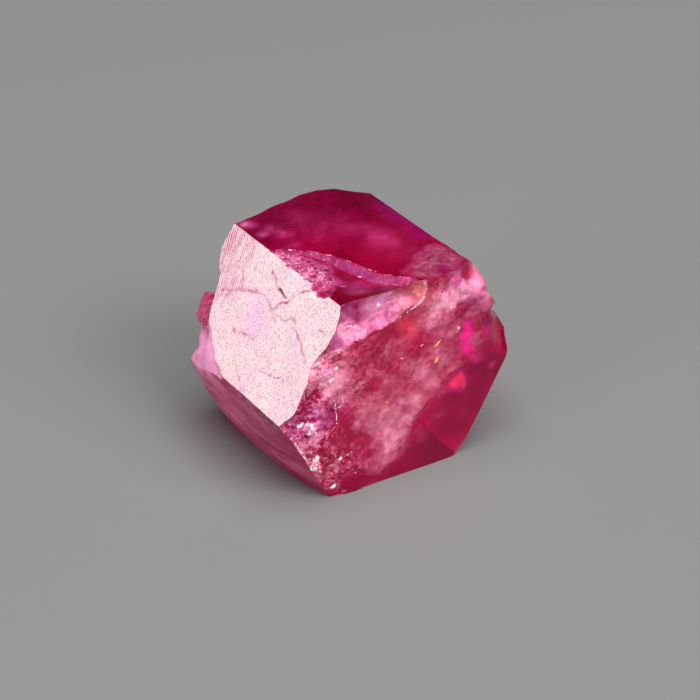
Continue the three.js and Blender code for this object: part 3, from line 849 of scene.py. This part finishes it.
    # painted shade in the comb-like grooves, drawn with the cracks
    grooveShade = 1.4 * comb * groove ** 2 * (0.8 + 0.9 * bumps(y, 0.3 * down, 0.08, 98))
    mark = 1.1 * strokes(y, down, brightFace["darkMark"], 0.04)
    bright = {
        "frost": 0.3 * (1 - etchSheen), "hide": (0.5 + 0.5 * (y > 2)) * (1 - etchSheen), "etchSheen": etchSheen,
        "pale": np.where(etchSheen > 0.5, patches(y, down, brightFace["coolSheen"]), 1.3 * (y > 2)),
        "magenta": np.where(etchSheen > 0.5, patches(y, down, brightFace["lilac"]), 0.7),
        "crackAndGrooveShade": (2.0 * crackMarks(y, down) + grooveShade + mark) * etchSheen,
        "dark": 0.9 * mark, "splinter": 0.5 * (1 - etchSheen),
    }
    downLow = down - prism["sides"][0][1]
    streak = 0.5 + 0.55 * bumps(downLow * 2.4, y * 0.5, 0.6, 97) + 0.3 * bumps(downLow * 7, y, 0.6, 99)
    streak = np.clip(streak, 0, 1)
    byEdge = 1 - smooth(downLow, 0.08, 0.35)
    lobe = patches(y, downLow, lowerLeftFace["pale"])
    lowerLeft = {
        "frost": 0.6 - 0.3 * byEdge, "hide": 0.5 + 0.5 * lobe,
        "pale": 0.6 * streak * (1 - byEdge) + lobe, "magenta": 0.7,
        "splinter": byEdge, "crumb": 0.5 * byEdge,
        "glint": 0.8 * strokes(y, downLow, lowerLeftFace["edgeGlints"], 0.03),
        "dark": 1.2 * strokes(y, downLow, lowerLeftFace["cracks"], 0.028),
    }
    low, leftLobes = smooth(-z + 0.25 * layers(x, z, 0.9, 3, 74), 1.9, 2.5), 1 - smooth(x, 0.1, 0.7)
    farPale = leftLobes * (0.2 + 1.1 * low) + (1 - leftLobes) * (0.45 + 0.5 * low)
    farPale = farPale + 0.12 * layers(x, z, 0.6, 4, 75)
    farHalf = smooth(y, 1.8, 2.6)
    rest = {
        "bottom": {"frost": 0.5, "hide": 0.06 + 0.6 * farHalf, "pale": 0.1 + 0.45 * farHalf},
        "lowerRight": {"frost": 0.05},
        "upperRight": {"frost": 0.08, "hide": 0.03},
        "far": {"frost": 0.8 + 0.2 * leftLobes, "hide": 1.3, "pale": farPale,
                "magenta": 0.3 + 0.5 * low * leftLobes, "crumb": 0.7},
    }
    faces = {"front": front, "top": top, "upperLeft": bright, "lowerLeft": lowerLeft, **rest}
    for mask in finishMasks:
        values = none.copy()
        for face, masks in faces.items():
            values = np.where(on[face], masks.get(mask, 0), values)
        layer = mesh.attributes.new(mask, "FLOAT", "CORNER")
        layer.data.foreach_set("value", np.clip(values, 0, 1.5).astype(np.float32))


# Lying in the frost of the broken end: small flakes coloured as painted orange glints, and dark grains

orangeGlintFlakes = {
    "thickness": 0.012,
    "segments": 20,
    # x and z on the broken end, half length, half width and turn in degrees
    "places": [
        (2.38, -1.63, 0.13, 0.035, 42), (2.37, -2.03, 0.1, 0.055, 70), (1.13, -2.63, 0.035, 0.02, 30),
        (1.98, -1.52, 0.05, 0.02, 35), (1.52, -1.72, 0.04, 0.018, 20),
    ],
    "lift": 0.015,             # they stand a little proud of the frost
    # the orange of a painted glint
    "colour": (1.0, 0.33, 0.17, 1),
    "roughness": 0.25,
}

darkGrains = {
    "size": 0.024,
    "roughness": 0.4,
    "colour": (0.016, 0.004, 0.006, 1),
    "places": [
        (0.36, -1.51), (0.92, -1.87), (0.79, -1.9), (0.31, -2.01), (0.42, -2.12), (0.51, -2.28),
        (0.46, -2.34), (0.44, -1.96), (0.49, -2.24), (-0.19, -2.44), (0.02, -2.14), (0.33, -2.06),
        (2.37, -0.17), (0.39, -2.18), (0.55, -2.02), (2.47, -0.4),
    ],
}


def placeOnBreak(x, z, lift=0.0):
    # the point of the broken end at x and z, lifted off it towards the front
    return np.array([x, -lift - frontRelief(np.array(x), np.array(z)), z])


def addSpindle(points, faces, rim, tip, place):
    # a closed solid round place: a rim of points, joined to a tip at the front and one at the back
    first, count = len(points), len(rim)
    points.extend(np.concatenate([rim, [(0, -tip, 0), (0, tip, 0)]]) + place)
    here = first + np.arange(count)
    after = np.roll(here, -1)
    near, far = np.full(count, first + count), np.full(count, first + count + 1)
    faces.extend(np.stack([here, after, near, after, here, far], -1).reshape(-1, 3).tolist())


def makeFlakes():
    # each flake is a lens with a ragged rim
    points, faces = [], []
    around = 2 * math.pi * np.arange(orangeGlintFlakes["segments"]) / orangeGlintFlakes["segments"]
    ragged = 1 + 0.1 * np.cos(3 * around) + 0.06 * np.sin(7 * around)
    for x, z, length, width, turn in orangeGlintFlakes["places"]:
        c, s = math.cos(math.radians(turn)), math.sin(math.radians(turn))
        u, v = length * ragged * np.cos(around), width * ragged * np.sin(around)
        rim = np.stack([u * c - v * s, 0 * u, u * s + v * c], -1)
        addSpindle(points, faces, rim, orangeGlintFlakes["thickness"], placeOnBreak(x, z, orangeGlintFlakes["lift"]))
    return np.array(points), faces


def makeGrains():
    # each grain is a stubby double pyramid with a four-cornered girdle, turned at random
    rng = np.random.default_rng(7)
    points, faces = [], []
    for x, z in darkGrains["places"]:
        size = darkGrains["size"] * rng.uniform(0.7, 1.4)
        turn, stretch = rng.uniform(0, math.pi), rng.uniform(0.5, 0.9)
        c, s = math.cos(turn), math.sin(turn)
        longer, shorter = np.array([c, 0, s]), stretch * np.array([-s, 0, c])
        girdle = np.array([longer, shorter, -longer, -shorter]) * size
        addSpindle(points, faces, girdle, 0.6 * size, placeOnBreak(x, z))
    return np.array(points), faces


crystal = makeCrystal()
mesh = crystal.data
paintCrystal(mesh)
points = (readArray(mesh.vertices, "co", 3) + zero) * millimetre
points = np.clip(points, np.array(low), np.array(high))
mesh.vertices.foreach_set("co", points.ravel())
mesh.update()
mesh.shade_smooth()
mesh.set_sharp_from_angle(angle=math.radians(32))
triangles = int((readArray(mesh.polygons, "loop_total", 1, int) - 2).sum())
print("crystal", len(mesh.vertices), "points", triangles, "triangles")


# Finish

redBeryl = {
    "ior": 1.572,
    "specularLevel": 0.3,
    "specularTint": (1.0, 0.35, 0.6, 1),
    "absorbColour": (0.988, 0.04, 0.93, 1),
    "absorbDensity": 1150.0,    # per metre
    "clearColour": (1.0, 0.1, 0.46, 1),
    "violetColour": (0.92, 0.06, 0.95, 1),
    # painted shade for the clear glass
    "shadedGlassColour": (0.46, 0.012, 0.2, 1),
    # each lean of the frost's colour: deep, then pale
    "frost": ((0.48, 0.012, 0.075, 1), (0.95, 0.34, 0.49, 1)),
    "magenta": ((0.42, 0.008, 0.13, 1), (0.98, 0.36, 0.66, 1)),
    "warm": ((0.85, 0.04, 0.09, 1), (1.0, 0.3, 0.3, 1)),
    # the painted glow, pink and then orange, and the white of the painted glints
    "pinkGlowColour": (1.0, 0.02, 0.28, 1),
    "orangeGlowColour": (1.0, 0.04, 0.13, 1),
    "glintColour": (1.0, 0.93, 0.97, 1),
    "darkColour": (0.12, 0.003, 0.02, 1),
    # the bright face's painted sheen: pink to cream with darker lines, lilac and bluish-white patches, then
    # its cracks and shaded grooves
    "sheenPink": (1.0, 0.79, 0.85, 1),
    "sheenCream": (1.0, 0.84, 0.8, 1),
    "etchLineShade": (0.74, 0.3, 0.46, 1),
    "lilacColour": (1.0, 0.64, 0.9, 1),
    "coolSheenColour": (0.9, 0.9, 0.93, 1),
    "crackAndGrooveColour": (0.62, 0.1, 0.28, 1),
    # scale per metre of the splinters' cells, then scale, detail and roughness of each noise
    "coarseCells": 7500,
    "fineCells": 17000,
    "cloudNoise": (3200, 5, 0.62),
    "frostNoise": (9000, 4, 0.55),
    "paleNoise": (5000, 4),
    "crumbNoise": (11000, 6, 0.75),
    "speckNoise": (24000, 2),
    "etchToneNoise": (1100, 4),
    "creamNoise": (2600, 2),
    "wormNoise": (15000, 1.5),
    "crackNoise": (22000, 2),
    "bumpNoise": (16000, 3),
    "bumpStrength": 0.6,
    "bumpHeight": 0.00002,     # metres
    "etchHides": 0.86,         # share of the light that the etching stops
    "glassRoughness": 0.04,
    "etchRoughness": 0.27,
    "frostRoughness": 0.5,
}


class Nodes:
    # short names for adding and wiring shader nodes
    def __init__(self, owner):
        owner.use_nodes = True
        self.tree = owner.node_tree
        self.tree.nodes.clear()
        self.place = self.add("ShaderNodeTexCoord").outputs["Object"]

    def add(self, kind, inputs=(), **settings):
        # a new node; its inputs, by name or number, are set to a value or wired to an output
        node = self.tree.nodes.new(kind)
        for key, value in settings.items():
            setattr(node, key, value)
        for key, value in dict(inputs).items():
            if isinstance(value, (int, float, tuple)):
                node.inputs[key].default_value = value
            else:
                self.tree.links.new(value, node.inputs[key])
        return node

    def mask(self, name):
        return self.add("ShaderNodeAttribute", attribute_name=name).outputs["Fac"]

    def maths(self, operation, *values, clamp=False):
        node = self.add("ShaderNodeMath", enumerate(values), operation=operation, use_clamp=clamp)
        return node.outputs[0]

    def times(self, first, second, clamp=False):
        return self.maths("MULTIPLY", first, second, clamp=clamp)

    def plus(self, first, second, clamp=False):
        return self.maths("ADD", first, second, clamp=clamp)

    def most(self, first, second):
        return self.maths("MAXIMUM", first, second)

    def noise(self, scale, detail=3.0, roughness=0.55):
        inputs = {"Vector": self.place, "Scale": scale, "Detail": detail, "Roughness": roughness}
        return self.add("ShaderNodeTexNoise", inputs).outputs["Fac"]

    def cells(self, scale, feature, output):
        # irregular cells
        inputs = {"Vector": self.place, "Scale": scale}
        return self.add("ShaderNodeTexVoronoi", inputs, feature=feature).outputs[output]

    def cellTone(self, scale):
        # a random number for each cell
        split = self.add("ShaderNodeSeparateColor", {0: self.cells(scale, "F1", "Color")})
        return split.outputs[0]

    def ease(self, value, start, end, low=0.0, high=1.0):
        # low below start, high above end, eased between
        inputs = {"Value": value, "From Min": start, "From Max": end, "To Min": low, "To Max": high}
        return self.add("ShaderNodeMapRange", inputs, interpolation_type="SMOOTHSTEP").outputs[0]

    def blend(self, share, first, second, how="MIX"):
        node = self.add("ShaderNodeMix", {0: share, 6: first, 7: second}, data_type="RGBA", blend_type=how)
        return node.outputs[2]


def makeRedBeryl():
    # clear crystal; its masks turn it into cloudy frost and splintered glass on the breaks, with painted
    # glints, a painted glow and painted shade, and into fine worm-like etching with a painted sheen on the
    # bright face
    material = bpy.data.materials.new("red_beryl")
    n = Nodes(material)
    frost, hide, pale = n.mask("frost"), n.mask("hide"), n.mask("pale")
    etchSheen, crackAndGrooveShade, dark = n.mask("etchSheen"), n.mask("crackAndGrooveShade"), n.mask("dark")
    splinter, crumb, glint, hot = n.mask("splinter"), n.mask("crumb"), n.mask("glint"), n.mask("hot")
    magenta, warm = n.mask("magenta"), n.mask("warm")

    # splinters: random tone for each small cell, and thin bright lines between cells
    cellTone, fineTone = n.cellTone(redBeryl["coarseCells"]), n.cellTone(redBeryl["fineCells"])
    cellEdge = n.cells(redBeryl["coarseCells"], "DISTANCE_TO_EDGE", "Distance")
    tones = n.maths("MULTIPLY_ADD", cellTone, 0.6, n.times(fineTone, 0.5))
    jagged = n.times(n.maths("SUBTRACT", tones, 0.55), splinter)
    veins = n.times(n.ease(cellEdge, 0.0, 0.07, 1.0, 0.0), splinter)

    # frost: from a deep colour to a pale one by the pale mask, uneven with grain, splinters and crumbs; both
    # colours lean to magenta or to warm, and where it is hot a painted glow covers them
    cloud = n.ease(n.noise(*redBeryl["cloudNoise"]), 0.34, 0.66, 0.7, 1.2)
    grainy = n.ease(n.noise(*redBeryl["frostNoise"]), 0.3, 0.7, -0.13, 0.13)
    whiter = n.plus(n.times(pale, n.ease(n.noise(*redBeryl["paleNoise"]), 0.3, 0.7, 0.65, 1.3)), jagged)
    whiter = n.plus(whiter, n.times(grainy, frost))
    crumbs = n.times(n.ease(n.noise(*redBeryl["crumbNoise"]), 0.37, 0.63, -1.0, 1.0), crumb)
    whiter = n.maths("MULTIPLY_ADD", crumbs, 0.2, whiter)
    whiter = n.plus(whiter, n.times(veins, 0.35), clamp=True)
    deep, light = redBeryl["frost"]
    for mask, lean in ((magenta, "magenta"), (warm, "warm")):
        share = n.plus(mask, 0.0, clamp=True)
        deep, light = n.blend(share, deep, redBeryl[lean][0]), n.blend(share, light, redBeryl[lean][1])
    frostColour = n.blend(whiter, deep, light)
    glow = n.blend(warm, redBeryl["pinkGlowColour"], redBeryl["orangeGlowColour"])
    frostColour = n.blend(n.ease(hot, 0.05, 0.85), frostColour, glow)
    clearColour = n.blend(n.ease(magenta, 0.55, 1.1), redBeryl["clearColour"], redBeryl["violetColour"])
    # painted shade darkens the clear glass where the deep mask is
    clearColour = n.blend(n.mask("deep"), clearColour, redBeryl["shadedGlassColour"])

    # etching with a painted sheen: pink to cream in place of the face's flash of light, crossed by darker
    # worm-like lines where a fine noise is near its middle, and the cracks
    fromMiddle = n.maths("ABSOLUTE", n.maths("SUBTRACT", n.noise(*redBeryl["wormNoise"]), 0.5))
    worms = n.ease(fromMiddle, 0.0, 0.06, 1.0, 0.0)
    tone = n.ease(n.noise(*redBeryl["etchToneNoise"]), 0.35, 0.75, 0.0, 0.22)
    lined = n.most(n.times(worms, 0.85), tone)
    creamy = n.ease(n.noise(*redBeryl["creamNoise"]), 0.38, 0.58)
    etchSheenColour = n.blend(creamy, redBeryl["sheenPink"], redBeryl["sheenCream"])
    etchSheenColour = n.blend(n.times(pale, 0.8), etchSheenColour, redBeryl["coolSheenColour"])
    etchSheenColour = n.blend(n.times(magenta, 0.8), etchSheenColour, redBeryl["lilacColour"])
    etchSheenColour = n.blend(lined, etchSheenColour, redBeryl["etchLineShade"])
    crackAndGrooveTone = n.times(crackAndGrooveShade, n.ease(n.noise(*redBeryl["crackNoise"]), 0.35, 0.6, 0.55, 1.0))
    etchSheenColour = n.blend(crackAndGrooveTone, etchSheenColour, redBeryl["crackAndGrooveColour"])

    # what covers what: glass, frost where it is solid, etching with its painted sheen, painted glints and
    # dark marks
    glint = n.ease(n.times(glint, n.maths("MULTIPLY_ADD", fineTone, 1.3, 0.2)), 0.3, 0.75)
    solid = n.times(n.times(hide, cloud), n.maths("MULTIPLY_ADD", crumbs, 0.5, 1.0))
    solid = n.most(solid, glint)
    specks = n.times(n.ease(n.noise(*redBeryl["speckNoise"]), 0.66, 0.74), crumb)
    dark = n.most(dark, n.times(specks, 0.8))
    colour = n.blend(n.ease(n.maths("MULTIPLY_ADD", frost, 0.4, solid), 0.15, 0.5), clearColour, frostColour)
    colour = n.blend(etchSheen, colour, etchSheenColour)
    colour = n.blend(glint, colour, redBeryl["glintColour"])
    colour = n.blend(n.maths("MINIMUM", dark, 1.0), colour, redBeryl["darkColour"])

    # light goes through all that is not stopped
    stopped = n.plus(solid, n.times(n.plus(jagged, veins), 0.5))
    stopped = n.most(stopped, n.times(etchSheen, redBeryl["etchHides"]))
    stopped = n.most(stopped, dark)
    through = n.maths("SUBTRACT", 1.0, stopped, clamp=True)

    spread = redBeryl["frostRoughness"] - redBeryl["glassRoughness"]
    rough = n.maths("MULTIPLY_ADD", n.maths("POWER", frost, 0.7), spread, redBeryl["glassRoughness"])
    rough = n.most(rough, n.times(dark, 0.9, clamp=True))
    rough = n.most(rough, n.times(etchSheen, redBeryl["etchRoughness"]))

    # relief finer than the mesh: frost's grain, the etched lines and the shards
    grain = n.times(n.noise(*redBeryl["bumpNoise"]), frost)
    etching = n.times(n.times(worms, -0.32), etchSheen)
    shards = n.times(n.plus(cellTone, fineTone), n.times(splinter, 0.5))
    height = n.plus(n.plus(grain, etching), shards)
    strength, distance = redBeryl["bumpStrength"], redBeryl["bumpHeight"]
    bump = n.add("ShaderNodeBump", {"Height": height, "Strength": strength, "Distance": distance})
    shader = n.add("ShaderNodeBsdfPrincipled", {
        "Base Color": colour,
        "Transmission Weight": through,
        "Roughness": rough,
        "IOR": redBeryl["ior"],
        "Specular IOR Level": redBeryl["specularLevel"],
        "Specular Tint": redBeryl["specularTint"],
        "Normal": bump.outputs[0],
    })
    glass = {"Color": redBeryl["absorbColour"], "Density": redBeryl["absorbDensity"]}
    absorb = n.add("ShaderNodeVolumeAbsorption", glass)
    n.add("ShaderNodeOutputMaterial", {"Surface": shader.outputs[0], "Volume": absorb.outputs[0]})
    return material


def plainMaterial(name, colour, roughness, mottled=True):
    # one colour, with a mottled one a little darker in places
    material = bpy.data.materials.new(name)
    n = Nodes(material)
    if mottled:
        colour = n.blend(1.0, colour, n.ease(n.noise(9000, 3), 0.3, 0.7, 0.75, 1.1), "MULTIPLY")
    shader = n.add("ShaderNodeBsdfPrincipled", {"Base Color": colour, "Roughness": roughness})
    n.add("ShaderNodeOutputMaterial", {"Surface": shader.outputs[0]})
    return material


flakePoints, flakeFaces = makeFlakes()
flakes = newObject("orange_glint_flakes", (flakePoints + zero) * millimetre, flakeFaces)
flakes.data.materials.append(plainMaterial("orange_glint_flake", orangeGlintFlakes["colour"], orangeGlintFlakes["roughness"]))
flakes.data.shade_smooth()
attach(flakes, "root")
grainPoints, grainFaces = makeGrains()
grains = newObject("dark_grains", (grainPoints + zero) * millimetre, grainFaces)
grains.data.materials.append(plainMaterial("dark_grain", darkGrains["colour"], darkGrains["roughness"]))
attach(grains, "root")

crystal.data.materials.clear()
crystal.data.materials.append(makeRedBeryl())
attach(crystal, "root")
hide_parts("beryl_crystal")
print("finish set")


# Floor, light and camera

studio = {
    "floorSize": 1.2,
    "floorColour": (0.2, 0.2, 0.198, 1),
    "horizonColour": (0.38, 0.385, 0.39, 1),
    "upperColour": (0.02, 0.02, 0.022, 1),
    "horizonTop": 0.3,        # sine of the height at which the pale horizon has faded out
}

floorCorners = np.array([(-1, -1, 0), (1, -1, 0), (1, 1, 0), (-1, 1, 0)]) * studio["floorSize"] / 2
floor = newObject("floor", floorCorners, [(0, 1, 2, 3)])
floor.data.materials.append(plainMaterial("pale_floor", studio["floorColour"], 0.8, mottled=False))

world = bpy.data.worlds.new("studio")
bpy.context.scene.world = world
worldNodes = Nodes(world)
around = worldNodes.add("ShaderNodeTexCoord").outputs["Generated"]
height = worldNodes.add("ShaderNodeSeparateXYZ", {0: around}).outputs[2]
sky = worldNodes.blend(worldNodes.ease(height, 0.05, studio["horizonTop"]),
                       studio["horizonColour"], studio["upperColour"])
background = worldNodes.add("ShaderNodeBackground", {0: sky})
worldNodes.add("ShaderNodeOutputWorld", {"Surface": background.outputs[0]})

centre = Vector((0.0, 0.0, (low.z + high.z) / 2))


def aim(thing, target, azimuth, elevation, distance):
    # faces the target from that azimuth, counted from -Y towards +X, and that angle above the horizon
    a, e = math.radians(azimuth), math.radians(elevation)
    toward = Vector((math.sin(a) * math.cos(e), -math.cos(a) * math.cos(e), math.sin(e)))
    thing.location = target + toward * distance
    thing.rotation_euler = toward.to_track_quat("Z", "Y").to_euler()


softboxes = [
    # name, azimuth, elevation, distance, width, height and radiance
    ("windowLight", 220.6, 7.8, 0.4, 0.055, 0.045, 13.6),
    ("topLight", -20.0, 75.0, 0.25, 0.24, 0.24, 4.4),
    ("frontLight", 15.0, 38.0, 0.3, 0.2, 0.12, 8.5),
    ("leftLight", -80.0, 14.0, 0.3, 0.16, 0.12, 4.8),
]

for name, azimuth, elevation, distance, width, tall, radiance in softboxes:
    light = bpy.data.lights.new(name, "AREA")
    light.shape = "RECTANGLE"
    light.size, light.size_y = width, tall
    light.energy = radiance * math.pi * light.size * light.size_y
    aim(addObject(name, light), centre, azimuth, elevation, distance)

view = {
    "azimuth": -32.03,
    "elevation": 30.06,
    "distance": 0.04756,       # this and the target in metres
    "target": (0.00005, -0.000162, 0.00202),
    "lens": 113.1,             # this and the sensor's width in mm
    "sensor": 36.0,
}
cameraData = bpy.data.cameras.new("camera")
cameraData.lens = view["lens"]
cameraData.sensor_width = view["sensor"]
cameraData.clip_start = 0.001
cameraData.clip_end = 10.0
camera = addObject("camera", cameraData)
aim(camera, Vector(view["target"]), view["azimuth"], view["elevation"], view["distance"])
bpy.context.scene.camera = camera
bpy.context.scene.view_settings.view_transform = "Standard"
print("studio set")
